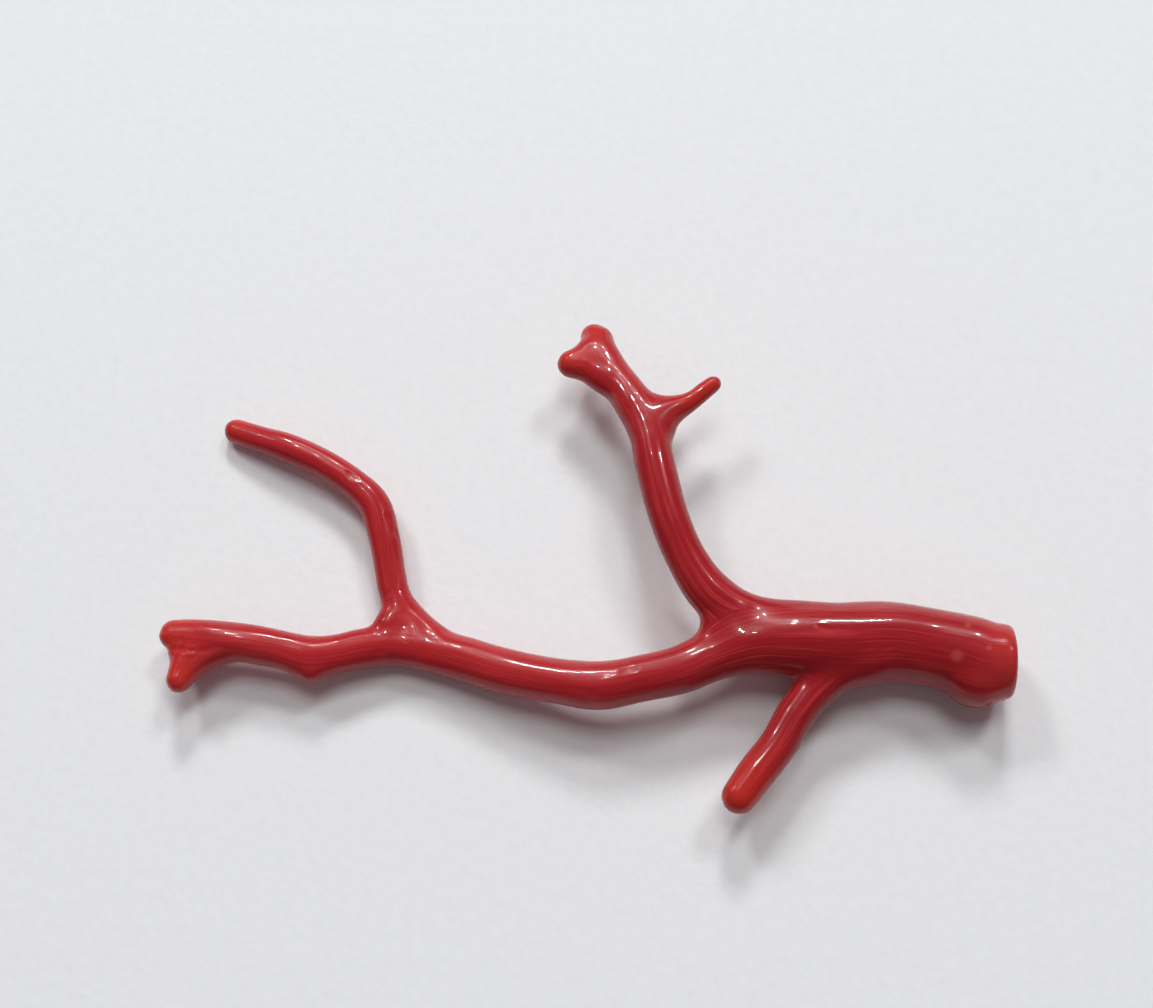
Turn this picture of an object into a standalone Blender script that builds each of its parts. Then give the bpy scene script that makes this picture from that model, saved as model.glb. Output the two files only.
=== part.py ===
"""Red coral branch: a polished branch of precious coral, sawn off flat at its thick end and lying down.

The branch is made of tapering stems that run into each other. Each stem follows a centreline of a few
points. The stems are fused and smoothed as one body, which is then parted at its main forks.
+X runs to the sawn end, +Y to the tip of the tall branch and +Z up. The branch lies on the floor, z = 0,
on its trunk, on the long stem near the second fork, and on the tip of the curved branch.
"""

import math

import bmesh
import bpy
from mathutils import Matrix, Vector

# The shape is made in millimetres and becomes metres at the very end.
METRES_PER_MM = 0.001

# Usual radius of each stem, in millimetres. A girth of 1 in the centrelines below is this radius.
TRUNK_RADIUS = 4.0
TALL_RADIUS = 2.05
CURVED_RADIUS = 1.6
SPUR_RADIUS = 1.85
TWIG_RADIUS = 0.85
LOBE_RADIUS = 1.4

# The trunk is sawn off square here, and its sawn rim is rounded over.
SAWN_END_X = 41.9
RIM_ROUNDING = 1.4

# Moves the branch so that it lies centred over the origin, with its lowest points on the floor.
SET_DOWN = Vector((0.34, 0.01, -0.04))

# Centrelines: x, y, z and girth. The trunk thins into the stem, which ends in two lobes.
TRUNK_TO_LOBES = (
    (41.0, -9.9, 4.65, 0.93),
    (39.4, -9.85, 4.55, 0.96),
    (37.9, -9.3, 4.3, 0.98),
    (34.1, -8.4, 3.95, 0.96),
    (29.8, -7.9, 3.95, 0.985),
    (25.4, -8.2, 4.3, 1.0),
    (21.1, -8.1, 4.8, 0.94),
    (17.2, -8.3, 5.2, 0.81),
    (13.6, -9.5, 5.3, 0.66),
    (9.9, -11.2, 5.4, 0.59),
    (6.1, -12.1, 5.3, 0.58),
    (2.2, -12.8, 5.0, 0.6),
    (-2.3, -12.3, 4.3, 0.56),
    (-7.9, -11.1, 3.3, 0.565),
    (-13.1, -9.5, 2.4, 0.57),
    (-17.8, -8.6, 2.15, 0.53),
    (-21.5, -8.9, 2.5, 0.515),
    (-24.2, -9.6, 2.9, 0.495),
    (-27.1, -10.1, 3.4, 0.535),
    (-30.2, -9.4, 3.6, 0.485),
    (-34.3, -8.8, 3.7, 0.505),
    (-38.4, -8.4, 3.7, 0.49),
    (-41.1, -8.1, 3.5, 0.4),
)
FOOT_LOBE = (
    (-35.4, -9.1, 3.5, 1.3),
    (-37.8, -9.8, 3.6, 1.42),
    (-39.2, -11.1, 3.9, 1.36),
    (-39.95, -12.8, 4.5, 0.96),
)
CURVED_BRANCH = (
    (-11.9, -9.7, 2.5, 1.05),
    (-15.1, -8.0, 2.3, 1.2),
    (-17.5, -5.9, 2.2, 1.16),
    (-18.9, -3.9, 2.3, 1.05),
    (-19.7, -0.9, 2.5, 0.98),
    (-20.5, 2.6, 2.8, 1.03),
    (-21.7, 6.0, 2.9, 1.03),
    (-24.4, 8.5, 2.8, 0.97),
    (-27.7, 10.6, 2.7, 0.945),
    (-31.3, 12.2, 2.4, 0.97),
    (-34.5, 13.3, 1.9, 0.88),
    (-37.2, 14.3, 1.34, 0.86),
)
TALL_BRANCH = (
    (26.4, -8.0, 4.5, 1.8),
    (21.6, -7.1, 4.9, 1.47),
    (16.9, -5.8, 5.5, 1.06),
    (13.1, -4.05, 6.2, 1.17),
    (10.55, -0.6, 7.0, 0.98),
    (8.7, 3.6, 7.5, 0.98),
    (7.4, 8.5, 7.6, 1.0),
    (6.5, 12.7, 7.2, 1.02),
    (4.7, 16.2, 6.5, 1.01),
    (2.7, 19.4, 5.7, 0.94),
    (1.4, 21.8, 5.3, 0.9),
    (0.7, 23.5, 4.7, 0.74),
)
HOOK_LOBE = (
    (4.0, 17.1, 6.1, 1.08),
    (1.6, 18.6, 6.0, 1.2),
    (0.0, 20.2, 5.9, 1.22),
    (-1.4, 20.15, 5.9, 1.17),
)
TWIG = (
    (6.9, 12.0, 7.1, 2.3),
    (8.0, 14.3, 6.8, 2.3),
    (10.5, 15.65, 6.7, 1.38),
    (12.0, 16.9, 6.7, 1.13),
    (13.0, 17.7, 6.7, 1.05),
)
SPUR = (
    (28.5, -8.9, 4.4, 1.9),
    (25.4, -10.4, 4.5, 1.47),
    (23.0, -12.7, 4.5, 1.15),
    (21.1, -15.2, 4.5, 1.04),
    (19.4, -18.2, 4.5, 1.0),
    (17.4, -20.8, 4.5, 1.02),
    (15.7, -23.2, 4.8, 0.95),
)
# Swellings, each with its centre and radius: where the sawn end flares, at the elbow of the lobed branch, in
# the crotches of the forks, and between the lobes of both tips.
SWELLINGS = (
    ((38.35, -10.95, 4.5), 3.5),
    ((-26.8, -11.2, 3.6), 1.65),
    ((-28.3, -10.6, 3.6), 1.55),
    ((-25.5, -10.5, 3.3), 1.6),
    ((15.4, -6.9, 5.9), 2.2),
    ((13.4, -7.1, 6.1), 1.7),
    ((-19.3, -6.5, 2.6), 1.75),
    ((24.2, -11.2, 4.5), 2.0),
    ((-40.2, -9.9, 3.7), 1.4),
    ((0.4, 21.5, 5.7), 1.7),
    ((1.3, 23.1, 4.9), 1.6),
    ((6.9, 15.25, 6.7), 1.6),
    ((7.8, 12.9, 6.9), 1.7),
    ((7.2, 11.2, 7.1), 1.85),
)

# How finely the stems are drawn and fused, in millimetres.
RING_SIDES = 24
RING_SPACING = 0.6
DOME_RINGS = 5
DOME_TURN = math.radians(88.2)
FUSE_VOXEL = 0.36
BODY_TRIANGLES = 7000

# The skin is smoothed all over, and then more and more towards the middle of each fork, of the lobes and of
# the flare of the sawn end: the middle, how far the smoothing reaches, and how many times it is done.
SMOOTHING = 0.5
SKIN_PASSES = 4
BLENDS = (
    ((14.5, -6.8, 6.0), 7.0, 46),
    ((23.8, -11.0, 4.7), 5.5, 28),
    ((-18.4, -6.6, 2.8), 5.0, 25),
    ((8.0, 14.2, 6.9), 5.0, 36),
    ((-38.8, -10.2, 3.7), 3.5, 15),
    ((1.8, 19.4, 5.9), 5.5, 46),
    ((-26.9, -11.0, 3.6), 4.5, 20),
    ((38.0, -11.5, 4.6), 5.5, 28),
)

# The body is parted across a stem at each of these places, by a disc that reaches past the stem's radius.
# Only the parting faces and the sawn face have more corners than the fewest parting sides.
PARTING_GAP = 0.3
PARTING_REACH = 1.45
FEWEST_PARTING_SIDES = 9
PARTINGS = (
    ("trunk", 8.75),
    ("trunk", 16.1),
    ("tall", 3.3),
    ("twig", 1.35),
    ("spur", 2.55),
    ("curved", 3.15),
)

# Colours of the polished coral, deepest where it is thickest, and how rough its polish is.
DEEP_RED = (0.40, 0.013, 0.017)
RED = (0.46, 0.018, 0.020)
LIGHT_RED = (0.52, 0.026, 0.022)
ORANGE_RED = (0.58, 0.038, 0.022)
POLISH = 0.17
SHARP_EDGE = math.radians(50)

# The pieces: name, a place on it (stem and place along the stem) and colour.
PIECES = (
    ("trunk", "trunk", 4.0, DEEP_RED),
    ("long_stem", "trunk", 12.0, RED),
    ("lobed_branch", "trunk", 19.0, RED),
    ("curved_branch", "curved", 7.0, LIGHT_RED),
    ("tall_branch", "tall", 6.0, RED),
    ("twig", "twig", 3.4, ORANGE_RED),
    ("spur", "spur", 5.0, LIGHT_RED),
)


def clear_scene():
    """Leave an empty scene to build in."""
    for thing in list(bpy.context.scene.objects):
        bpy.data.objects.remove(thing, do_unlink=True)


def stems():
    """Every stem's centreline with its usual radius, by name."""
    return {
        "trunk": (TRUNK_TO_LOBES, TRUNK_RADIUS),
        "foot_lobe": (FOOT_LOBE, LOBE_RADIUS),
        "curved": (CURVED_BRANCH, CURVED_RADIUS),
        "tall": (TALL_BRANCH, TALL_RADIUS),
        "hook_lobe": (HOOK_LOBE, LOBE_RADIUS),
        "twig": (TWIG, TWIG_RADIUS),
        "spur": (SPUR, SPUR_RADIUS),
    }


def spot(stem, place):
    """Centre and radius of a stem at a place along it, on one smooth curve through its centreline points."""
    stations, usual_radius = stems()[stem]
    last = len(stations) - 1
    index = min(int(place), last - 1)
    t = place - index
    around = [stations[min(max(index + step, 0), last)] for step in (-1, 0, 1, 2)]
    before, start, end, after = (Vector((x, y, z, girth)) for x, y, z, girth in around)
    bend = 2 * before - 5 * start + 4 * end - after
    twist = 3 * start - before - 3 * end + after
    point = start + 0.5 * t * (end - before + t * (bend + t * twist))
    return point.xyz, point.w * usual_radius


def heading(stem, place):
    """Direction in which a stem grows at a place along it."""
    step = 0.05
    last = len(stems()[stem][0]) - 1
    ahead, _ = spot(stem, min(place + step, last))
    behind, _ = spot(stem, max(place - step, 0))
    return (ahead - behind).normalized()


def dome(centre, radius, way, rounding):
    """Rings that round a stem's end over: way points outwards, and rounding is the radius of the curve."""
    rings = []
    for number in range(1, DOME_RINGS + 1):
        angle = DOME_TURN * number / DOME_RINGS
        narrowed = radius - rounding * (1 - math.cos(angle))
        rings.append((centre + way * rounding * math.sin(angle), narrowed))
    return rings


def rings_of(stem):
    """Centre, radius and direction of each ring of a stem, from its rounded root to its rounded tip."""
    stations, _ = stems()[stem]
    last = len(stations) - 1
    spans = zip(stations, stations[1:])
    length = sum((Vector(end[:3]) - Vector(start[:3])).length for start, end in spans)
    count = math.ceil(length / RING_SPACING)
    places = [last * number / count for number in range(count + 1)]
    rings = [(*spot(stem, place), heading(stem, place)) for place in places]
    root, root_radius, root_way = rings[0]
    tip, tip_radius, tip_way = rings[-1]
    rounding = RIM_ROUNDING if stem == "trunk" else root_radius
    root_dome = [(*ring, root_way) for ring in dome(root, root_radius, -root_way, rounding)]
    tip_dome = [(*ring, tip_way) for ring in dome(tip, tip_radius, tip_way, tip_radius)]
    return root_dome[::-1] + rings + tip_dome


def add_stem(bm, stem):
    """Sweep a circle along a stem's rings, turning each one as little as it can from the one before."""
    rings = rings_of(stem)
    centre, radius, way = rings[0]
    turn = Vector((0, 0, 1)).rotation_difference(way)
    placed = Matrix.LocRotScale(centre, turn, (radius, radius, 1))
    made = bmesh.ops.create_circle(bm, segments=RING_SIDES, radius=1, cap_ends=True, matrix=placed)
    loop = list({edge for vert in made["verts"] for edge in vert.link_edges})
    for centre, radius, way in rings[1:]:
        grown = bmesh.ops.extrude_edge_only(bm, edges=loop)["geom"]
        points = {item for item in grown if isinstance(item, bmesh.types.BMVert)}
        edges = [item for item in grown if isinstance(item, bmesh.types.BMEdge)]
        loop = [edge for edge in edges if points.issuperset(edge.verts)]
        turn = (turn @ Vector((0, 0, 1))).rotation_difference(way) @ turn
        moved = Matrix.LocRotScale(centre, turn, (radius, radius, 1))
        bmesh.ops.transform(bm, matrix=moved @ placed.inverted(), verts=list(points))
        placed = moved
    bmesh.ops.contextual_create(bm, geom=loop)


def overlapping_stems():
    """One mesh of all the stems and swellings, each a closed shape that reaches into its neighbour."""
    bm = bmesh.new()
    for stem in stems():
        add_stem(bm, stem)
    for centre, radius in SWELLINGS:
        placed = Matrix.Translation(centre)
        bmesh.ops.create_icosphere(bm, subdivisions=3, radius=radius, matrix=placed)
    bmesh.ops.recalc_face_normals(bm, faces=bm.faces)
    return to_object(bm, "stems")


def to_object(bm, name):
    """Turn a bmesh into an object in the scene."""
    mesh = bpy.data.meshes.new(name)
    bm.to_mesh(mesh)
    bm.free()
    made = bpy.data.objects.new(name, mesh)
    bpy.context.scene.collection.objects.link(made)
    return made


def applied(helper):
    """The helper's mesh with its modifiers applied, as a bmesh; the helper itself goes."""
    bpy.context.view_layer.update()
    shown = helper.evaluated_get(bpy.context.evaluated_depsgraph_get())
    bm = bmesh.new()
    bm.from_mesh(shown.to_mesh())
    shown.to_mesh_clear()
    bpy.data.objects.remove(helper, do_unlink=True)
    return bm


def smooth(bm, verts):
    """Move each point towards the mean of its neighbours."""
    bmesh.ops.smooth_vert(
        bm, verts=verts, factor=SMOOTHING, use_axis_x=True, use_axis_y=True, use_axis_z=True
    )


def fused_body():
    """Fuse the stems into one skin, then smooth it, most of all in the crotches of the forks."""
    helper = overlapping_stems()
    fuse = helper.modifiers.new("fuse", "REMESH")
    fuse.mode = "VOXEL"
    fuse.voxel_size = FUSE_VOXEL
    bm = applied(helper)
    for _ in range(SKIN_PASSES):
        smooth(bm, bm.verts)
    for middle, reach, passes in BLENDS:
        centre = Vector(middle)
        near = [vert for vert in bm.verts if (vert.co - centre).length < reach]
        for passed in range(passes):
            within = reach * (1 - passed / passes)
            smooth(bm, [vert for vert in near if (vert.co - centre).length < within])
    return bm


def sawn_body():
    """The fused body with no more faces than its shape needs, sawn off square at the trunk."""
    helper = to_object(fused_body(), "body")
    thin = helper.modifiers.new("thin", "DECIMATE")
    thin.ratio = BODY_TRIANGLES / (2 * len(helper.data.polygons))
    bm = applied(helper)
    everything = bm.verts[:] + bm.edges[:] + bm.faces[:]
    cut = bmesh.ops.bisect_plane(
        bm, geom=everything, plane_co=(SAWN_END_X, 0, 0), plane_no=(1, 0, 0), clear_outer=True
    )
    rim = [item for item in cut["geom_cut"] if isinstance(item, bmesh.types.BMEdge)]
    bmesh.ops.contextual_create(bm, geom=rim)
    bmesh.ops.recalc_face_normals(bm, faces=bm.faces)
    return to_object(bm, "body")


def parting_discs():
    """Thin discs across the stems, as thick as the gap between two pieces."""
    bm = bmesh.new()
    for stem, place in PARTINGS:
        centre, radius = spot(stem, place)
        turn = Vector((0, 0, 1)).rotation_difference(heading(stem, place))
        bmesh.ops.create_cone(
            bm,
            cap_ends=True,
            segments=RING_SIDES,
            radius1=radius * PARTING_REACH,
            radius2=radius * PARTING_REACH,
            depth=PARTING_GAP,
            matrix=Matrix.LocRotScale(centre, turn, None),
        )
    discs = to_object(bm, "parting_discs")
    discs.hide_render = True
    discs.display_type = "WIRE"
    return discs


def parted_body():
    """The sawn body with a gap at every place where a branch is parted, as a bmesh of separate shapes.

    Each parting face becomes a fan of triangles round its middle, so that none of its edges runs along
    the skin.
    """
    body = sawn_body()
    discs = parting_discs()
    part = body.modifiers.new("part", "BOOLEAN")
    part.operation = "DIFFERENCE"
    part.solver = "EXACT"
    part.object = discs
    bm = applied(body)
    bpy.data.objects.remove(discs, do_unlink=True)
    many_sided = [face for face in bm.faces if len(face.verts) > FEWEST_PARTING_SIDES]
    parting_faces = [
        face for face in many_sided if face.calc_center_median().x < SAWN_END_X - PARTING_GAP
    ]
    bmesh.ops.poke(bm, faces=parting_faces)
    return bm


def island_of(bm, point):
    """The faces that hang together with the face nearest to a point."""
    nearest = min(bm.faces, key=lambda face: (face.calc_center_median() - point).length)
    island = {nearest}
    edge_of_island = [nearest]
    while edge_of_island:
        face = edge_of_island.pop()
        beside = {other for edge in face.edges for other in edge.link_faces} - island
        island |= beside
        edge_of_island.extend(beside)
    return island


def coral_finish(name, colour):
    """Polished coral in one colour."""
    finish = bpy.data.materials.new(name)
    finish.use_nodes = True
    shader = finish.node_tree.nodes["Principled BSDF"]
    shader.inputs["Base Color"].default_value = (*colour, 1)
    shader.inputs["Roughness"].default_value = POLISH
    shader.inputs["Metallic"].default_value = 0.0
    return finish


def make_piece(parted, name, point, colour):
    """One named piece in metres: the shape round a point of the parted body."""
    bm = parted.copy()
    keep = island_of(bm, point)
    bmesh.ops.delete(bm, geom=[face for face in bm.faces if face not in keep], context="FACES")
    placed = Matrix.Scale(METRES_PER_MM, 4) @ Matrix.Translation(SET_DOWN)
    bmesh.ops.transform(bm, matrix=placed, verts=bm.verts)
    piece = to_object(bm, name)
    piece.data.materials.append(coral_finish(name + "_coral", colour))
    piece.data.shade_smooth()
    piece.data.set_sharp_from_angle(angle=SHARP_EDGE)


def build():
    """Make the whole branch."""
    clear_scene()
    parted = parted_body()
    for name, stem, place, colour in PIECES:
        point, _ = spot(stem, place)
        make_piece(parted, name, point, colour)
    parted.free()


build()
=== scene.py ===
import math

import bmesh
import bpy
from mathutils import Matrix, Vector, kdtree, noise


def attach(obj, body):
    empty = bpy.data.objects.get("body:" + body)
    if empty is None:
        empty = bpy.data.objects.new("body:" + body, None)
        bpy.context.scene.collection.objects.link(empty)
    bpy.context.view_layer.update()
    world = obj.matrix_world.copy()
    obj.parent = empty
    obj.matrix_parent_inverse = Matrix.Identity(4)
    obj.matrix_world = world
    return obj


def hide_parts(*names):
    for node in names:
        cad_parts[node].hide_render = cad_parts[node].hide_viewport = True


# The polished skin of a red coral branch. It is one unbroken piece that stands for the seven solids of the
# frame, and it is made as they are: tapering stems, fused and smoothed, and sawn off at the thick end.
# Shapes are made in millimetres and become metres at the very end.
METRES_PER_MM = 0.001

# Usual radius of each stem. A girth of 1 in the centrelines below is this radius.
TRUNK_RADIUS = 4.0
TALL_RADIUS = 2.05
CURVED_RADIUS = 1.6
SPUR_RADIUS = 1.85
TWIG_RADIUS = 0.85
LOBE_RADIUS = 1.4

# The trunk is sawn off square here, and its sawn rim is rounded over.
SAWN_END_X = 41.9
RIM_ROUNDING = 1.4

# Moves the branch so that it lies centred over the origin, with its lowest points on the floor.
SET_DOWN = Vector((0.34, 0.01, -0.04))

# Centrelines: x, y, z and girth. The trunk thins into the stem, which ends in two lobes.
TRUNK_TO_LOBES = (
    (41.0, -9.9, 4.65, 0.93),
    (39.4, -9.85, 4.55, 0.96),
    (37.9, -9.3, 4.3, 0.98),
    (34.1, -8.4, 3.95, 0.96),
    (29.8, -7.9, 3.95, 0.985),
    (25.4, -8.2, 4.3, 1.0),
    (21.1, -8.1, 4.8, 0.94),
    (17.2, -8.3, 5.2, 0.81),
    (13.6, -9.5, 5.3, 0.66),
    (9.9, -11.2, 5.4, 0.59),
    (6.1, -12.1, 5.3, 0.58),
    (2.2, -12.8, 5.0, 0.6),
    (-2.3, -12.3, 4.3, 0.56),
    (-7.9, -11.1, 3.3, 0.565),
    (-13.1, -9.5, 2.4, 0.57),
    (-17.8, -8.6, 2.15, 0.53),
    (-21.5, -8.9, 2.5, 0.515),
    (-24.2, -9.6, 2.9, 0.495),
    (-27.1, -10.1, 3.4, 0.535),
    (-30.2, -9.4, 3.6, 0.485),
    (-34.3, -8.8, 3.7, 0.505),
    (-38.4, -8.4, 3.7, 0.49),
    (-41.1, -8.1, 3.5, 0.4),
)
FOOT_LOBE = (
    (-35.4, -9.1, 3.5, 1.3),
    (-37.8, -9.8, 3.6, 1.42),
    (-39.2, -11.1, 3.9, 1.36),
    (-39.95, -12.8, 4.5, 0.96),
)
CURVED_BRANCH = (
    (-11.9, -9.7, 2.5, 1.05),
    (-15.1, -8.0, 2.3, 1.2),
    (-17.5, -5.9, 2.2, 1.16),
    (-18.9, -3.9, 2.3, 1.05),
    (-19.7, -0.9, 2.5, 0.98),
    (-20.5, 2.6, 2.8, 1.03),
    (-21.7, 6.0, 2.9, 1.03),
    (-24.4, 8.5, 2.8, 0.97),
    (-27.7, 10.6, 2.7, 0.945),
    (-31.3, 12.2, 2.4, 0.97),
    (-34.5, 13.3, 1.9, 0.88),
    (-37.2, 14.3, 1.34, 0.86),
)
TALL_BRANCH = (
    (26.4, -8.0, 4.5, 1.8),
    (21.6, -7.1, 4.9, 1.47),
    (16.9, -5.8, 5.5, 1.06),
    (13.1, -4.05, 6.2, 1.17),
    (10.55, -0.6, 7.0, 0.98),
    (8.7, 3.6, 7.5, 0.98),
    (7.4, 8.5, 7.6, 1.0),
    (6.5, 12.7, 7.2, 1.02),
    (4.7, 16.2, 6.5, 1.01),
    (2.7, 19.4, 5.7, 0.94),
    (1.4, 21.8, 5.3, 0.9),
    (0.7, 23.5, 4.7, 0.74),
)
HOOK_LOBE = (
    (4.0, 17.1, 6.1, 1.08),
    (1.6, 18.6, 6.0, 1.2),
    (0.0, 20.2, 5.9, 1.22),
    (-1.4, 20.15, 5.9, 1.17),
)
TWIG = (
    (6.9, 12.0, 7.1, 2.3),
    (8.0, 14.3, 6.8, 2.3),
    (10.5, 15.65, 6.7, 1.38),
    (12.0, 16.9, 6.7, 1.13),
    (13.0, 17.7, 6.7, 1.05),
)
SPUR = (
    (28.5, -8.9, 4.4, 1.9),
    (25.4, -10.4, 4.5, 1.47),
    (23.0, -12.7, 4.5, 1.15),
    (21.1, -15.2, 4.5, 1.04),
    (19.4, -18.2, 4.5, 1.0),
    (17.4, -20.8, 4.5, 1.02),
    (15.7, -23.2, 4.8, 0.95),
)
STEMS = {
    "trunk": (TRUNK_TO_LOBES, TRUNK_RADIUS),
    "foot_lobe": (FOOT_LOBE, LOBE_RADIUS),
    "curved": (CURVED_BRANCH, CURVED_RADIUS),
    "tall": (TALL_BRANCH, TALL_RADIUS),
    "hook_lobe": (HOOK_LOBE, LOBE_RADIUS),
    "twig": (TWIG, TWIG_RADIUS),
    "spur": (SPUR, SPUR_RADIUS),
}
# Swellings, each with its centre and radius: where the sawn end flares, at the elbow of the lobed branch, in
# the crotches of the forks, and between the lobes of both tips.
SWELLINGS = (
    ((38.35, -10.95, 4.5), 3.5),
    ((-26.8, -11.2, 3.6), 1.65),
    ((-28.3, -10.6, 3.6), 1.55),
    ((-25.5, -10.5, 3.3), 1.6),
    ((15.4, -6.9, 5.9), 2.2),
    ((13.4, -7.1, 6.1), 1.7),
    ((-19.3, -6.5, 2.6), 1.75),
    ((24.2, -11.2, 4.5), 2.0),
    ((-40.2, -9.9, 3.7), 1.4),
    ((0.4, 21.5, 5.7), 1.7),
    ((1.3, 23.1, 4.9), 1.6),
    ((6.9, 15.25, 6.7), 1.6),
    ((7.8, 12.9, 6.9), 1.7),
    ((7.2, 11.2, 7.1), 1.85),
)

# How finely the stems are drawn and fused.
RING_SIDES = 40
RING_SPACING = 0.4
DOME_RINGS = 8
FUSE_VOXEL = 0.2

# A rounded end stops just short of a quarter turn, so that its last ring keeps a width.
DOME_TURN = 0.49 * math.pi

# The skin is smoothed all over, and then more and more towards the middle of each fork, of the lobes at both
# tips, of the elbow and of the flare of the sawn end: the middle, how far the smoothing reaches, and how many
# times it is done. The last three rows are beside the spur's root, the second fork and the lower lobe.
# A blend looks only at the nearest one of so many equal parts of the skin's points.
SMOOTHING = 0.5
SKIN_PASSES = 12
SKIN_PARTS = 3
BLENDS = (
    ((14.5, -6.8, 6.0), 7.0, 150),
    ((23.8, -11.0, 4.7), 5.5, 90),
    ((-18.4, -6.6, 2.8), 5.0, 80),
    ((8.0, 14.2, 6.9), 5.0, 115),
    ((-38.8, -10.2, 3.7), 3.5, 50),
    ((1.8, 19.4, 5.9), 5.5, 150),
    ((-26.9, -11.0, 3.6), 4.5, 65),
    ((38.0, -11.5, 4.6), 5.5, 90),
    ((29.6, -11.6, 4.5), 4.0, 60),
    ((-13.8, -7.4, 3.6), 3.0, 45),
    ((-34.2, -10.8, 3.7), 2.6, 45),
)

# Hand polishing leaves long shallow hollows and rises: how deep, how wide and how long they are.
WAVE_DEPTH = 0.07
WAVE_WIDTH = 2.6
WAVE_LENGTH = 5.0

# The waves die out towards the sawn face: how far from it they are gone, and how far they take to die out.
WAVELESS_RIM = 0.3
WAVE_FADE = 1.5

# Small healed scars in the skin: the middle of each, which way it runs, half its length, half its width and
# its depth.
SCARS = (
    ((23.8, -7.6, 8.35), (0.96, -0.26, 0.0), 1.0, 0.32, 0.07),
    ((1.6, -14.0, 7.0), (1.0, 0.0, 0.0), 0.6, 0.45, 0.05),
    ((5.0, -11.7, 7.45), (0.97, 0.2, 0.1), 0.9, 0.3, 0.05),
    ((-19.9, -9.65, 4.1), (0.9, -0.2, 0.2), 0.7, 0.45, 0.05),
    ((-23.9, 8.6, 4.3), (0.72, -0.69, 0.0), 0.8, 0.34, 0.08),
    ((-19.9, 4.3, 4.1), (-0.3, 0.95, 0.1), 0.6, 0.36, 0.06),
    ((-19.1, 2.65, 3.65), (-0.3, 0.95, 0.1), 0.55, 0.34, 0.06),
    ((-26.75, 9.35, 4.1), (0.8, -0.6, 0.0), 0.3, 0.3, 0.05),
    ((-39.7, -9.9, 5.2), (0.94, -0.13, 0.3), 1.3, 0.36, 0.09),
    ((-37.5, -10.0, 5.45), (0.99, 0.03, -0.1), 1.1, 0.34, 0.07),
    ((-39.85, -8.85, 5.3), (1.0, 0.0, 0.0), 0.3, 0.3, 0.05),
    ((39.15, -14.1, 5.4), (0.0, 0.2, 1.0), 0.6, 0.38, 0.14),
)

# The raised lip of a scar: how far out it lies and how wide it is, both in half lengths or half widths of the
# scar, and its height as a share of the depth.
LIP_OUT = 1.35
LIP_WIDTH = 0.6
LIP_SHARE = 0.35

# The stems whose growth lines run over each part of the skin: along the main stem, out along the branches,
# and out along the small side shoots.
MAIN_STEMS = ("trunk",)
BRANCH_STEMS = ("curved", "tall", "spur")
SHOOT_STEMS = ("foot_lobe", "hook_lobe", "twig")
WALK_SPACING = 0.25

# How fast one stem's lines give way to the next one's, and the share of the branch or shoot where the skin
# is as far out, in radii, from both.
HANDOVER = 1.5
BRANCH_START = 0.25
SHOOT_START = 0.5

# Tips where the coral turns more orange, partly its own colour and partly painted glow of light shining
# through the thin tips: stem, and how far down the stem it reaches.
TIPS = (
    ("trunk", 5.0),
    ("foot_lobe", 4.5),
    ("curved", 3.5),
    ("tall", 4.5),
    ("hook_lobe", 4.5),
    ("twig", 7.5),
    ("spur", 9.0),
)

# The coral pales from the trunk's thick end to the thin branches between these two places.
DEEPEST_X = 30.0
PALEST_X = -15.0


def spot(stem, place):
    """Centre and radius of a stem at a place along it, on one smooth curve through its centreline points."""
    stations, usual_radius = STEMS[stem]
    last = len(stations) - 1
    index = min(int(place), last - 1)
    t = place - index
    around = [stations[min(max(index + step, 0), last)] for step in (-1, 0, 1, 2)]
    before, start, end, after = (Vector((x, y, z, girth)) for x, y, z, girth in around)
    bend = 2 * before - 5 * start + 4 * end - after
    twist = 3 * start - before - 3 * end + after
    point = start + 0.5 * t * (end - before + t * (bend + t * twist))
    return point.xyz, point.w * usual_radius


def heading(stem, place):
    """Direction in which a stem grows at a place along it."""
    step = 0.05
    last = len(STEMS[stem][0]) - 1
    ahead, _ = spot(stem, min(place + step, last))
    behind, _ = spot(stem, max(place - step, 0))
    return (ahead - behind).normalized()


def places_along(stem, spacing):
    """Places on a stem from its root to its tip, about a spacing apart."""
    stations, _ = STEMS[stem]
    last = len(stations) - 1
    spans = zip(stations, stations[1:])
    length = sum((Vector(end[:3]) - Vector(start[:3])).length for start, end in spans)
    count = math.ceil(length / spacing)
    return [last * number / count for number in range(count + 1)]


def dome(centre, radius, way, rounding):
    """Rings that round a stem's end over: way points outwards, and rounding is the radius of the curve."""
    rings = []
    for number in range(1, DOME_RINGS + 1):
        angle = DOME_TURN * number / DOME_RINGS
        narrowed = radius - rounding * (1 - math.cos(angle))
        rings.append((centre + way * rounding * math.sin(angle), narrowed))
    return rings


def rings_of(stem):
    """Centre, radius and direction of each ring of a stem, from its rounded root to its rounded tip."""
    places = places_along(stem, RING_SPACING)
    rings = [(*spot(stem, place), heading(stem, place)) for place in places]
    root, root_radius, root_way = rings[0]
    tip, tip_radius, tip_way = rings[-1]
    rounding = RIM_ROUNDING if stem == "trunk" else root_radius
    root_dome = [(*ring, root_way) for ring in dome(root, root_radius, -root_way, rounding)]
    tip_dome = [(*ring, tip_way) for ring in dome(tip, tip_radius, tip_way, tip_radius)]
    return root_dome[::-1] + rings + tip_dome


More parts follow.
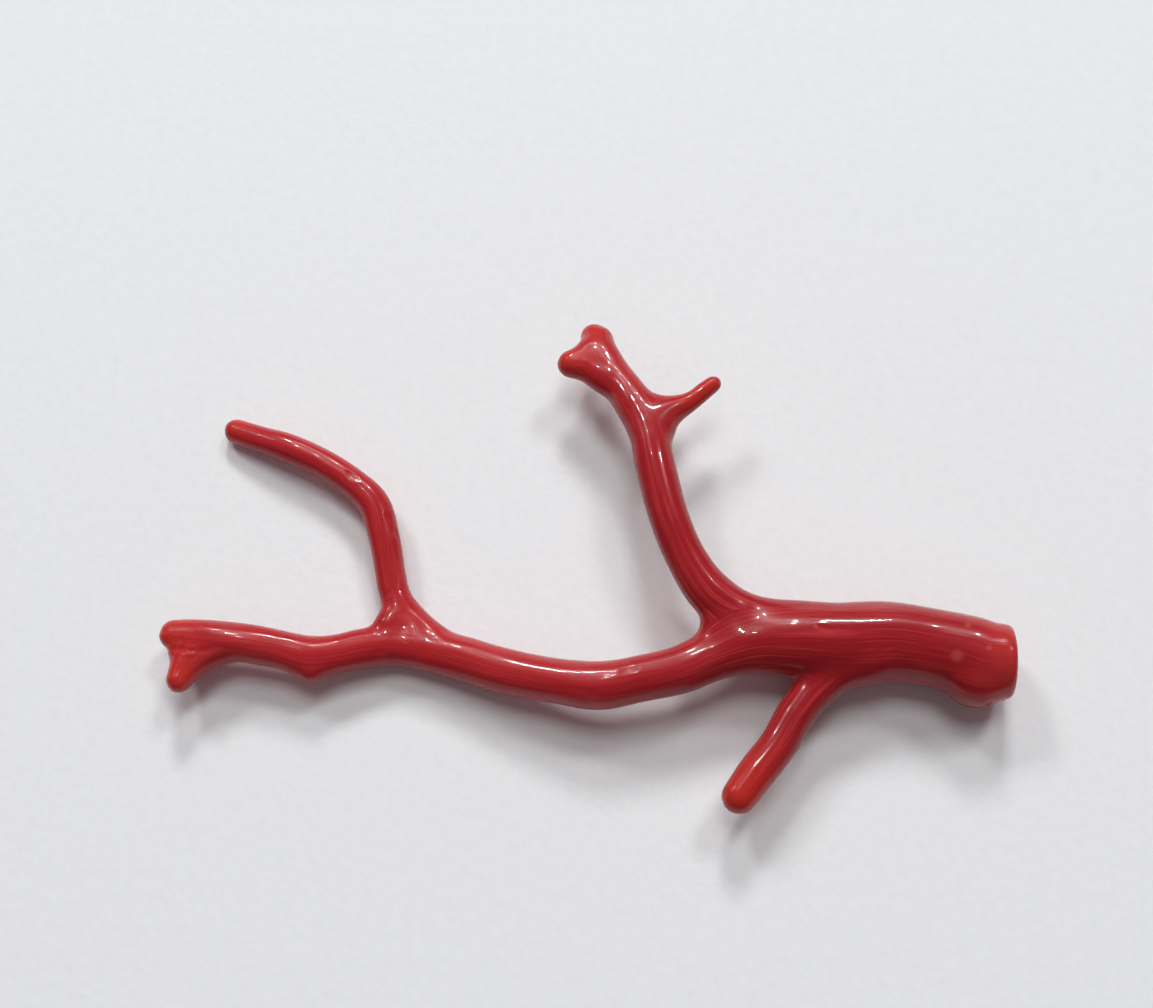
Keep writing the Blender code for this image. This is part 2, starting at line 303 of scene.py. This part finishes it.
def add_stem(bm, stem):
    """Sweep a circle along a stem's rings, turning each one as little as it can from the one before."""
    rings = rings_of(stem)
    centre, radius, way = rings[0]
    turn = Vector((0, 0, 1)).rotation_difference(way)
    placed = Matrix.LocRotScale(centre, turn, (radius, radius, 1))
    made = bmesh.ops.create_circle(bm, segments=RING_SIDES, radius=1, cap_ends=True, matrix=placed)
    loop = list({edge for vert in made["verts"] for edge in vert.link_edges})
    for centre, radius, way in rings[1:]:
        grown = bmesh.ops.extrude_edge_only(bm, edges=loop)["geom"]
        points = {item for item in grown if isinstance(item, bmesh.types.BMVert)}
        edges = [item for item in grown if isinstance(item, bmesh.types.BMEdge)]
        loop = [edge for edge in edges if points.issuperset(edge.verts)]
        turn = (turn @ Vector((0, 0, 1))).rotation_difference(way) @ turn
        moved = Matrix.LocRotScale(centre, turn, (radius, radius, 1))
        bmesh.ops.transform(bm, matrix=moved @ placed.inverted(), verts=list(points))
        placed = moved
    bmesh.ops.contextual_create(bm, geom=loop)


def saw_off(bm):
    """Cut the trunk's thick end off square and close the cut."""
    everything = bm.verts[:] + bm.edges[:] + bm.faces[:]
    cut = bmesh.ops.bisect_plane(
        bm, geom=everything, plane_co=(SAWN_END_X, 0, 0), plane_no=(1, 0, 0), clear_outer=True
    )
    rim = [item for item in cut["geom_cut"] if isinstance(item, bmesh.types.BMEdge)]
    bmesh.ops.contextual_create(bm, geom=rim)


def overlapping_stems():
    """One mesh of all the stems and swellings, each a closed shape that reaches into its neighbour."""
    bm = bmesh.new()
    for stem in STEMS:
        add_stem(bm, stem)
    saw_off(bm)
    for centre, radius in SWELLINGS:
        placed = Matrix.Translation(centre)
        bmesh.ops.create_icosphere(bm, subdivisions=4, radius=radius, matrix=placed)
    bmesh.ops.recalc_face_normals(bm, faces=bm.faces)
    return to_object(bm, "stems")


def to_object(bm, name):
    """Turn a bmesh into an object in the scene."""
    mesh = bpy.data.meshes.new(name)
    bm.to_mesh(mesh)
    bm.free()
    made = bpy.data.objects.new(name, mesh)
    bpy.context.scene.collection.objects.link(made)
    return made


def applied(helper):
    """The helper's mesh with its modifiers applied, as a bmesh; the helper itself goes."""
    bpy.context.view_layer.update()
    shown = helper.evaluated_get(bpy.context.evaluated_depsgraph_get())
    bm = bmesh.new()
    bm.from_mesh(shown.to_mesh())
    shown.to_mesh_clear()
    bpy.data.objects.remove(helper, do_unlink=True)
    return bm


def smooth(bm, verts):
    """Move each point towards the mean of its neighbours."""
    bmesh.ops.smooth_vert(
        bm, verts=verts, factor=SMOOTHING, use_axis_x=True, use_axis_y=True, use_axis_z=True
    )


def fused_skin():
    """Fuse the stems into one skin, then smooth it, most of all in the crotches of the forks."""
    helper = overlapping_stems()
    fuse = helper.modifiers.new("fuse", "REMESH")
    fuse.mode = "VOXEL"
    fuse.voxel_size = FUSE_VOXEL
    bm = applied(helper)
    for _ in range(SKIN_PASSES):
        smooth(bm, bm.verts)
    for middle, reach, passes in BLENDS:
        centre = Vector(middle)
        near = sorted(bm.verts, key=lambda vert: (vert.co - centre).length_squared)
        distances = [(vert.co - centre).length for vert in near[: len(near) // SKIN_PARTS]]
        for passed in range(passes):
            count = sum(distance < reach * (1 - passed / passes) for distance in distances)
            smooth(bm, near[:count])
    return bm


class Growth:
    """Says where a point lies on the nearest of a few stems."""

    def __init__(self, names):
        self.steps = []
        for name in names:
            self.walk(name)
        self.tree = kdtree.KDTree(len(self.steps))
        for number, (centre, *_) in enumerate(self.steps):
            self.tree.insert(centre, number)
        self.tree.balance()

    def walk(self, name):
        """Note the centre, radius, turn, length so far and usual radius, at small steps along a stem."""
        turn = Vector((0, 0, 1)).rotation_difference(heading(name, 0))
        before, _ = spot(name, 0)
        length = 0.0
        for place in places_along(name, WALK_SPACING):
            centre, radius = spot(name, place)
            length += (centre - before).length
            way = turn @ Vector((0, 0, 1))
            turn = way.rotation_difference(heading(name, place)) @ turn
            self.steps.append((centre, radius, turn.copy(), length, STEMS[name][1]))
            before = centre

    def at(self, point):
        """Where a point lies round the stem and along it, and how far out it is in radii.

        The place round the stem is taken on a tube of the stem's usual radius, so that a growth line keeps
        its place where the stem swells or thins.
        """
        _, number, _ = self.tree.find(point)
        centre, radius, turn, length, usual_radius = self.steps[number]
        local = turn.inverted() @ (point - centre)
        across = local.xy.length
        around = local.xy.normalized() * usual_radius
        return Vector((around.x, around.y, length + local.z)), across / radius


def soft_step(value):
    """0 below 0, 1 above 1, and a smooth rise between them."""
    value = min(max(value, 0.0), 1.0)
    return value * value * (3 - 2 * value)


def press_scars(bm):
    """Press the healed scars into the skin, each with a faint raised lip at its edge."""
    for place, way, reach, width, depth in SCARS:
        centre = Vector(place)
        along = Vector(way).normalized()
        for vert in bm.verts:
            offset = vert.co - centre
            if offset.length > (LIP_OUT + LIP_WIDTH) * reach:
                continue
            lengthwise = offset.dot(along)
            sideways = (offset - along * lengthwise).length
            out = math.hypot(lengthwise / reach, sideways / width)
            hollow = soft_step(LIP_OUT - out)
            lip = soft_step(1 - abs(out - LIP_OUT) / LIP_WIDTH)
            vert.co -= vert.normal * depth * (hollow - LIP_SHARE * lip)


def polish_waves(bm, growths):
    """Move the skin in and out by the long shallow waves that hand polishing leaves."""
    moves = []
    for vert in bm.verts:
        main, branch, shoot, out_on_branch, on_shoot = growths[vert.index]
        shares = (
            (main, (1 - out_on_branch) * (1 - on_shoot)),
            (branch, out_on_branch * (1 - on_shoot)),
            (shoot, on_shoot),
        )
        wave = 0.0
        for grain, share in shares:
            where = Vector((grain.x / WAVE_WIDTH, grain.y / WAVE_WIDTH, grain.z / WAVE_LENGTH))
            wave += share * noise.noise(where)
        strength = soft_step((SAWN_END_X - WAVELESS_RIM - vert.co.x) / WAVE_FADE)
        moves.append(vert.normal * (WAVE_DEPTH * wave * strength))
    for vert, move in zip(bm.verts, moves):
        vert.co += move


def growth_of_skin(bm):
    """How each point of the skin lies on the stems.

    A row holds its place on the main stem, on the nearest branch and on the nearest shoot, and how much it
    belongs to that branch and to that shoot.
    """
    main_stems, branch_stems, shoot_stems = (
        Growth(names) for names in (MAIN_STEMS, BRANCH_STEMS, SHOOT_STEMS)
    )
    found = []
    for vert in bm.verts:
        main, main_out = main_stems.at(vert.co)
        branch, branch_out = branch_stems.at(vert.co)
        shoot, shoot_out = shoot_stems.at(vert.co)
        out_on_branch = soft_step(BRANCH_START + HANDOVER * (main_out - branch_out))
        on_shoot = soft_step(SHOOT_START + HANDOVER * (min(main_out, branch_out) - shoot_out))
        found.append((main, branch, shoot, out_on_branch, on_shoot))
    return found


# Where the centreline of each tip ends, and how far from there the orange reaches.
TIP_ENDS = [(spot(stem, len(STEMS[stem][0]) - 1)[0], reach) for stem, reach in TIPS]


def tip_tint_and_glow_share(point):
    """How far the coral has turned orange at a point, partly its own colour and partly painted glow through
    the thin tips: 1 at a tip, and 0 from its reach on.
    """
    return max(soft_step(1 - (point - end).length / reach) for end, reach in TIP_ENDS)


def slenderness(point):
    """0 in the thick trunk and 1 in the thin branches at the far end."""
    return soft_step((DEEPEST_X - point.x) / (DEEPEST_X - PALEST_X))


def add_attribute(mesh, name, kind, values):
    """Store a number or a vector for every point of a mesh."""
    attribute = mesh.attributes.new(name, kind, "POINT")
    if kind == "FLOAT":
        attribute.data.foreach_set("value", values)
    else:
        attribute.data.foreach_set("vector", [number for vector in values for number in vector])


def make_coral():
    """The whole branch as one skin, with what its material needs to know of its growth."""
    bm = fused_skin()
    bm.normal_update()
    bm.verts.index_update()
    growths = growth_of_skin(bm)
    polish_waves(bm, growths)
    bm.normal_update()
    press_scars(bm)
    # Orange towards the tips: partly the coral's own colour, partly painted glow of light shining through the
    # thin tips.
    tip_tint_and_glow = [tip_tint_and_glow_share(vert.co) for vert in bm.verts]
    slender = [slenderness(vert.co) for vert in bm.verts]
    placed = Matrix.Scale(METRES_PER_MM, 4) @ Matrix.Translation(SET_DOWN)
    bmesh.ops.transform(bm, matrix=placed, verts=bm.verts)
    coral = to_object(bm, "coral_branch")
    mesh = coral.data
    add_attribute(mesh, "main_grain", "FLOAT_VECTOR", [row[0] for row in growths])
    add_attribute(mesh, "branch_grain", "FLOAT_VECTOR", [row[1] for row in growths])
    add_attribute(mesh, "shoot_grain", "FLOAT_VECTOR", [row[2] for row in growths])
    add_attribute(mesh, "on_branch", "FLOAT", [row[3] for row in growths])
    add_attribute(mesh, "on_shoot", "FLOAT", [row[4] for row in growths])
    add_attribute(mesh, "tip_tint_and_glow", "FLOAT", tip_tint_and_glow)
    add_attribute(mesh, "slender", "FLOAT", slender)
    mesh.shade_smooth()
    return coral


class Number:
    """A number that varies over a surface. Sums on it add Math nodes."""

    def __init__(self, finish, socket):
        self.finish = finish
        self.socket = socket

    def maths(self, operation, first, second):
        """Add one Math node."""
        return self.finish.node("ShaderNodeMath", {"operation": operation}, {0: first, 1: second})

    def __add__(self, other):
        return self.maths("ADD", self, other)

    def __sub__(self, other):
        return self.maths("SUBTRACT", self, other)

    def __rsub__(self, other):
        return self.maths("SUBTRACT", other, self)

    def __mul__(self, other):
        return self.maths("MULTIPLY", self, other)

    def __truediv__(self, other):
        return self.maths("DIVIDE", self, other)

    __radd__ = __add__
    __rmul__ = __mul__


class Finish:
    """A material in the making."""

    def __init__(self, name):
        self.material = bpy.data.materials.new(name)
        self.material.use_nodes = True
        self.tree = self.material.node_tree
        self.shader = self.tree.nodes["Principled BSDF"]

    def feed(self, socket, value):
        """Link a value to a socket, or set a plain number or colour on it."""
        if isinstance(value, Number):
            self.tree.links.new(value.socket, socket)
        else:
            socket.default_value = value

    def node(self, kind, settings, inputs, output=0):
        """Add a node: its settings first, then what goes into its sockets. It returns one output."""
        made = self.tree.nodes.new(kind)
        for name, value in settings.items():
            setattr(made, name, value)
        for name, value in inputs.items():
            self.feed(made.inputs[name], value)
        return Number(self, made.outputs[output])

    def attribute(self, name, output):
        """A value stored on the mesh."""
        settings = {"attribute_type": "GEOMETRY", "attribute_name": name}
        return self.node("ShaderNodeAttribute", settings, {}, output)

    def scaled(self, vector, scale):
        """A vector multiplied part by part."""
        return self.node("ShaderNodeVectorMath", {"operation": "MULTIPLY"}, {0: vector, 1: scale})

    def cloud(self, vector, detail, roughness=0.5, distortion=0.0):
        """Soft noise around 0.5."""
        inputs = {
            "Vector": vector,
            "Scale": 1.0,
            "Detail": detail,
            "Roughness": roughness,
            "Distortion": distortion,
        }
        return self.node("ShaderNodeTexNoise", {}, inputs)

    def between(self, value, low, high):
        """0 where a value is below low, 1 above high, and a smooth rise between them."""
        settings = {"interpolation_type": "SMOOTHSTEP"}
        inputs = {"Value": value, "From Min": low, "From Max": high}
        return self.node("ShaderNodeMapRange", settings, inputs)

    def mixed(self, share, first, second):
        """From the first number to the second."""
        return self.node("ShaderNodeMix", {"data_type": "FLOAT"}, {0: share, 2: first, 3: second})

    def tinted(self, share, first, second):
        """From the first colour to the second."""
        return self.node("ShaderNodeMix", {"data_type": "RGBA"}, {0: share, 6: first, 7: second}, 2)

    def point(self):
        """Where a point of the piece is, in metres."""
        return self.node("ShaderNodeTexCoord", {}, {}, "Object")

    def away(self, place):
        """How far a point is from a place on the piece; both are in millimetres."""
        centre = (Vector(place) + SET_DOWN) * METRES_PER_MM
        inputs = {0: self.point(), 1: centre}
        metres = self.node("ShaderNodeVectorMath", {"operation": "DISTANCE"}, inputs, "Value")
        return metres / METRES_PER_MM

    def near(self, place, reach, core):
        """1 at a place on the piece, fading to 0 at its reach. The core is the share that stays at 1."""
        return self.between(self.away(place), reach, reach * core)

    def beyond(self, start, end):
        """0 up to one place along the trunk's length and 1 from the other on, in millimetres."""
        across = self.node("ShaderNodeSeparateXYZ", {}, {0: self.point()}, "X")
        return self.between(across / METRES_PER_MM, start + SET_DOWN.x, end + SET_DOWN.x)


# Colours of the polished coral.
DEEP_RED = (0.31, 0.011, 0.017, 1)
RED = (0.42, 0.018, 0.023, 1)
PALE_RED = (0.58, 0.055, 0.055, 1)
DARK_LINE = (0.21, 0.005, 0.009, 1)
# The orange of the tips, partly the coral's own colour and partly painted glow of light shining through them.
TIP_GLOW_ORANGE = (0.66, 0.040, 0.020, 1)
PALE_SPOT = (0.56, 0.11, 0.085, 1)
# The lighter red by the sawn end, partly the coral's own colour and partly painted glow of light through the
# rim.
SAWN_END_GLOW_RED = (0.54, 0.040, 0.034, 1)

# Growth lines: their width across the stem, their length along it, and the detail, roughness and distortion
# of their noise.
FINE_LINE = (0.18, 15.0, 1.5, 0.6, 0.06)
BROAD_LINE = (0.9, 14.0, 3.0, 0.6, 0.5)

# Each kind of streak starts to show at the first value of that noise, and is full at the second.
PALE_STREAKS = (0.48, 0.75)
DARK_LINES = (0.47, 0.32)
LIGHT_LINES = (0.52, 0.66)

# Soft patches in which the fine lines show more or less: how many to a metre, between which values of their
# noise the lines come out, and how much of them always shows.
PATCHES_PER_METRE = 210
PATCH_EDGES = (0.35, 0.65)
LEAST_SHOWING = 0.3

# Pale round spots on the trunk: place and radius. The core is the share of the radius with the full tint.
PALE_SPOTS = (
    ((36.12, -9.95, 7.85), 0.85),
    ((37.32, -6.86, 7.38), 0.5),
    ((39.07, -9.21, 8.21), 0.45),
    ((22.8, -7.3, 8.4), 0.4),
)
SPOT_CORE = 0.2

# Pale arcs that bend out of the trunk into the tall branch are clearest here: place, reach and core.
FORK_ARCS = ((14.5, -7.5, 7.5), 9.0, 0.3)

# Along the trunk's length, the red turns lighter towards the sawn end between the first two places, partly
# the coral's own colour and partly painted glow of light through the rim, and the skin gives way to the sawn
# face between the other two.
END_TINT_AND_GLOW = (36.5, 41.5)
SAWN_FACE = (41.8, 41.88)

# Growth rings on the sawn face: their middle, how far apart they are, how much the patches make them wander,
# and between which heights of their wave they come out.
SAWN_MIDDLE = (41.9, -9.9, 4.4)
GROWTH_RING = 0.7
RING_WANDER = 18.0
RING_EDGES = (-0.6, 1.0)

# How much of each colour is laid over the red where it is full.
PALE_STREAK_SHARE = 0.5
DARK_LINE_SHARE = 0.35
LIGHT_LINE_SHARE = 0.4
FORK_ARC_SHARE = 0.45
TIP_TINT_AND_GLOW_SHARE = 0.45
END_TINT_AND_GLOW_SHARE = 0.55
SPOT_SHARE = 0.38
RING_SHARE = 0.22

# Roughness of the skin, and what the patches and the sawn face add to it.
SKIN_ROUGHNESS = 0.18
PATCH_ROUGHNESS = 0.12
SAWN_ROUGHNESS = 0.15

# The clear polish over the skin, and how much of it the sawn face lacks.
POLISH = 0.3
SAWN_POLISH_LOSS = 0.22

# Relief of the growth lines in metres, and the fine lines' share of it.
LINE_RELIEF = 0.00002
FINE_RELIEF_SHARE = 0.6


def growth_lines(finish, line):
    """Streaks along the growth of the stems, handed over from stem to stem at the forks."""
    width, length, detail, roughness, distortion = line
    scale = (1 / width, 1 / width, 1 / length)
    streaks = [
        finish.cloud(finish.scaled(finish.attribute(name, "Vector"), scale), detail, roughness, distortion)
        for name in ("main_grain", "branch_grain", "shoot_grain")
    ]
    main, branch, shoot = streaks
    with_branch = finish.mixed(finish.attribute("on_branch", "Fac"), main, branch)
    return finish.mixed(finish.attribute("on_shoot", "Fac"), with_branch, shoot)


def coral_finish():
    """Polished red coral with growth lines, orange tips partly painted with the glow of light through them,
    pale spots and growth rings on the sawn face.
    """
    finish = Finish("polished_coral")
    patches = finish.cloud(finish.scaled(finish.point(), (PATCHES_PER_METRE,) * 3), detail=3.0)
    fine = growth_lines(finish, FINE_LINE)
    broad = growth_lines(finish, BROAD_LINE)

    slender = finish.attribute("slender", "Fac")
    colour = finish.tinted(slender, DEEP_RED, RED)
    pale_share = finish.between(broad, *PALE_STREAKS) * PALE_STREAK_SHARE
    colour = finish.tinted(pale_share, colour, PALE_RED)
    showing = finish.between(patches, *PATCH_EDGES) * (1 - LEAST_SHOWING) + LEAST_SHOWING
    dark_share = finish.between(fine, *DARK_LINES) * showing * DARK_LINE_SHARE
    colour = finish.tinted(dark_share, colour, DARK_LINE)
    at_fork = finish.near(*FORK_ARCS)
    light_most = showing * LIGHT_LINE_SHARE + at_fork * FORK_ARC_SHARE
    colour = finish.tinted(finish.between(fine, *LIGHT_LINES) * light_most, colour, PALE_RED)
    tip_tint_and_glow = finish.attribute("tip_tint_and_glow", "Fac")
    # Orange towards the tips: partly the coral's own colour, partly painted glow of light shining through the
    # thin tips.
    colour = finish.tinted(tip_tint_and_glow * TIP_TINT_AND_GLOW_SHARE, colour, TIP_GLOW_ORANGE)
    # Lighter orange-red towards the sawn end: partly the coral's own colour, partly painted glow of light
    # through the rim.
    end_tint_and_glow = finish.beyond(*END_TINT_AND_GLOW)
    colour = finish.tinted(end_tint_and_glow * END_TINT_AND_GLOW_SHARE, colour, SAWN_END_GLOW_RED)
    for place, radius in PALE_SPOTS:
        colour = finish.tinted(finish.near(place, radius, SPOT_CORE) * SPOT_SHARE, colour, PALE_SPOT)
    on_saw_cut = finish.beyond(*SAWN_FACE)
    ripple = finish.away(SAWN_MIDDLE) * (2 * math.pi / GROWTH_RING) + patches * RING_WANDER
    rings = finish.node("ShaderNodeMath", {"operation": "SINE"}, {0: ripple})
    ring_share = finish.between(rings, *RING_EDGES) * on_saw_cut * showing * RING_SHARE
    colour = finish.tinted(ring_share, colour, DARK_LINE)

    shader = finish.shader
    roughness = patches * PATCH_ROUGHNESS + SKIN_ROUGHNESS + on_saw_cut * SAWN_ROUGHNESS
    finish.feed(shader.inputs["Base Color"], colour)
    finish.feed(shader.inputs["Roughness"], roughness)
    finish.feed(shader.inputs["Coat Weight"], POLISH - on_saw_cut * SAWN_POLISH_LOSS)
    shader.inputs["Coat Roughness"].default_value = 0.04
    shader.inputs["IOR"].default_value = 1.5
    shader.inputs["Specular IOR Level"].default_value = 0.15
    shader.inputs["Subsurface Weight"].default_value = 0.12
    shader.inputs["Subsurface Radius"].default_value = (1.0, 0.12, 0.08)
    shader.inputs["Subsurface Scale"].default_value = 0.0006
    height = fine * FINE_RELIEF_SHARE + broad * (1 - FINE_RELIEF_SHARE)
    bump = {"Strength": 1.0, "Distance": LINE_RELIEF, "Height": height}
    finish.feed(shader.inputs["Normal"], finish.node("ShaderNodeBump", {}, bump))
    return finish.material


# The table top: half its width and its height, at the branch's lowest points, both in metres, its two tones,
# and its grain, with how much of it there is to a metre and its relief in metres.
TABLE_HALF_WIDTH = 3.0
TABLE_HEIGHT = -0.00003
TABLE_GREY = (0.80, 0.81, 0.82, 1)
TABLE_WHITE = (0.86, 0.87, 0.88, 1)
TABLE_GRAIN_PER_METRE = 900
TABLE_RELIEF = 0.00004


def floor_finish():
    """A plain pale table top."""
    finish = Finish("pale_table")
    grain = finish.cloud(finish.scaled(finish.point(), (TABLE_GRAIN_PER_METRE,) * 3), detail=4.0)
    colour = finish.tinted(grain, TABLE_GREY, TABLE_WHITE)
    finish.feed(finish.shader.inputs["Base Color"], colour)
    finish.shader.inputs["Roughness"].default_value = 0.7
    bump = {"Strength": 1.0, "Distance": TABLE_RELIEF, "Height": grain}
    finish.feed(finish.shader.inputs["Normal"], finish.node("ShaderNodeBump", {}, bump))
    return finish.material


def make_floor():
    """A wide pale table top under the branch."""
    bm = bmesh.new()
    bmesh.ops.create_grid(bm, x_segments=1, y_segments=1, size=TABLE_HALF_WIDTH)
    bmesh.ops.translate(bm, vec=(0, 0, TABLE_HEIGHT), verts=bm.verts)
    table = to_object(bm, "table_top")
    table.data.materials.append(floor_finish())


# The lamps aim at the middle of the branch, in metres.
LAMP_TARGET = (0, 0, 0.004)


def aimed(place, target):
    """Matrix of a lamp at a place, shining at a target."""
    way = (Vector(target) - Vector(place)).normalized()
    return Matrix.Translation(place) @ way.to_track_quat("-Z", "Y").to_matrix().to_4x4()


def add_lamp(name, azimuth, elevation, distance, width, height, radiance):
    """A light panel at a bearing from +Y and an elevation, in degrees, with its sizes in metres."""
    light = bpy.data.lights.new(name, "AREA")
    light.shape = "RECTANGLE"
    light.size = width
    light.size_y = height
    light.energy = radiance * math.pi * width * height
    turn = math.radians(azimuth)
    rise = math.radians(elevation)
    level = math.cos(rise)
    place = Vector((math.sin(turn) * level, math.cos(turn) * level, math.sin(rise))) * distance
    lamp = bpy.data.objects.new(name, light)
    lamp.matrix_world = aimed(place, LAMP_TARGET)
    bpy.context.scene.collection.objects.link(lamp)
    return lamp


# The lamps whose small reflections show in the polish: bearing from +Y, elevation, width and radiance. Their
# distance and the height of their panels are the same for all.
GLINT_LAMPS = (
    (-21, 36, 0.08, 480),
    (-7, 32, 0.05, 480),
    (2, 33, 0.05, 520),
    (15, 35, 0.055, 520),
    (1, 43, 0.06, 420),
    (-23, 52, 0.07, 420),
    (48, 46, 0.07, 420),
    (-50, 38, 0.07, 420),
    (-32, 64, 0.05, 300),
)
GLINT_DISTANCE = 1.6
GLINT_HEIGHT = 0.042

# The square lamps that light the table and the coral from behind and cast the shadows: bearing, elevation,
# width and radiance.
ROOM_LAMPS = (
    (-34, 42, 0.40, 27),
    (2, 38, 0.40, 44),
    (36, 48, 0.40, 24),
    (8, 72, 0.80, 7.5),
)
ROOM_DISTANCE = 2.4

# A wide dim wall that only shines in the polish, and a soft panel on the near side: bearing, elevation,
# distance, width, height and radiance.
BRIGHT_WALL = (0, 20, 2.0, 4.5, 1.2, 0.10)
ROOM_FILL = (180, 65, 2.0, 2.0, 2.0, 0.22)

# Tints of the light, and how bright the room around everything is.
LAMP_WHITE = (0.97, 1.0, 1.0)
FILL_PINK = (1.0, 0.82, 0.87)
ROOM_PINK = (1.0, 0.80, 0.86, 1)
ROOM_STRENGTH = 0.09


def light_room():
    """Small lamps that only shine in the polish, larger ones that light the table, and a soft room."""
    world = bpy.data.worlds.new("room")
    world.use_nodes = True
    background = world.node_tree.nodes["Background"]
    background.inputs["Color"].default_value = ROOM_PINK
    background.inputs["Strength"].default_value = ROOM_STRENGTH
    bpy.context.scene.world = world
    for number, (azimuth, elevation, width, radiance) in enumerate(GLINT_LAMPS):
        name = f"glint_lamp_{number}"
        lamp = add_lamp(name, azimuth, elevation, GLINT_DISTANCE, width, GLINT_HEIGHT, radiance)
        lamp.visible_diffuse = False
    for number, (azimuth, elevation, width, radiance) in enumerate(ROOM_LAMPS):
        name = f"room_lamp_{number}"
        lamp = add_lamp(name, azimuth, elevation, ROOM_DISTANCE, width, width, radiance)
        lamp.data.color = LAMP_WHITE
        lamp.visible_glossy = False
    wall = add_lamp("bright_wall", *BRIGHT_WALL)
    wall.visible_diffuse = False
    fill = add_lamp("room_fill", *ROOM_FILL)
    fill.data.color = FILL_PINK
    fill.visible_glossy = False


# The camera at the photograph's viewing angle: its place in metres, and which way is right, up and back
# for it.
CAMERA_PLACE = (0.013042, -0.039161, 0.164232)
CAMERA_RIGHT = (0.99675, 0.02790, -0.07557)
CAMERA_UP = (-0.00642, 0.96263, 0.27074)
CAMERA_BACK = (0.08030, -0.26938, 0.95968)

# Its sensor and lens in millimetres, and the nearest thing that it sees in metres.
SENSOR_WIDTH = 36.0
LENS = 51.55
NEAREST_SEEN = 0.01


def add_camera():
    """The camera that looks at the branch as the photograph does."""
    data = bpy.data.cameras.new("view")
    data.sensor_width = SENSOR_WIDTH
    data.lens = LENS
    data.clip_start = NEAREST_SEEN
    camera = bpy.data.objects.new("view", data)
    turn = Matrix((CAMERA_RIGHT, CAMERA_UP, CAMERA_BACK)).transposed().to_quaternion()
    camera.matrix_world = Matrix.LocRotScale(Vector(CAMERA_PLACE), turn, None)
    bpy.context.scene.collection.objects.link(camera)
    bpy.context.scene.camera = camera


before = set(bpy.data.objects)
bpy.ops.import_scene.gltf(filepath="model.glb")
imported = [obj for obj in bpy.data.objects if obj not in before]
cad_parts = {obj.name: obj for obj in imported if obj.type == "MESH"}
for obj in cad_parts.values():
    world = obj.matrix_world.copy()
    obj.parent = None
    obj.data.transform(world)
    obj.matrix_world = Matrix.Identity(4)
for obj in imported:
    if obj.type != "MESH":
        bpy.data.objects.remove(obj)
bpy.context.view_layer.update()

coral = make_coral()
coral.data.materials.append(coral_finish())
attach(coral, "root")
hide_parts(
    "trunk", "long_stem", "lobed_branch", "curved_branch", "tall_branch", "twig", "spur"
)

make_floor()
light_room()
add_camera()
bpy.context.scene.view_settings.view_transform = "Standard"
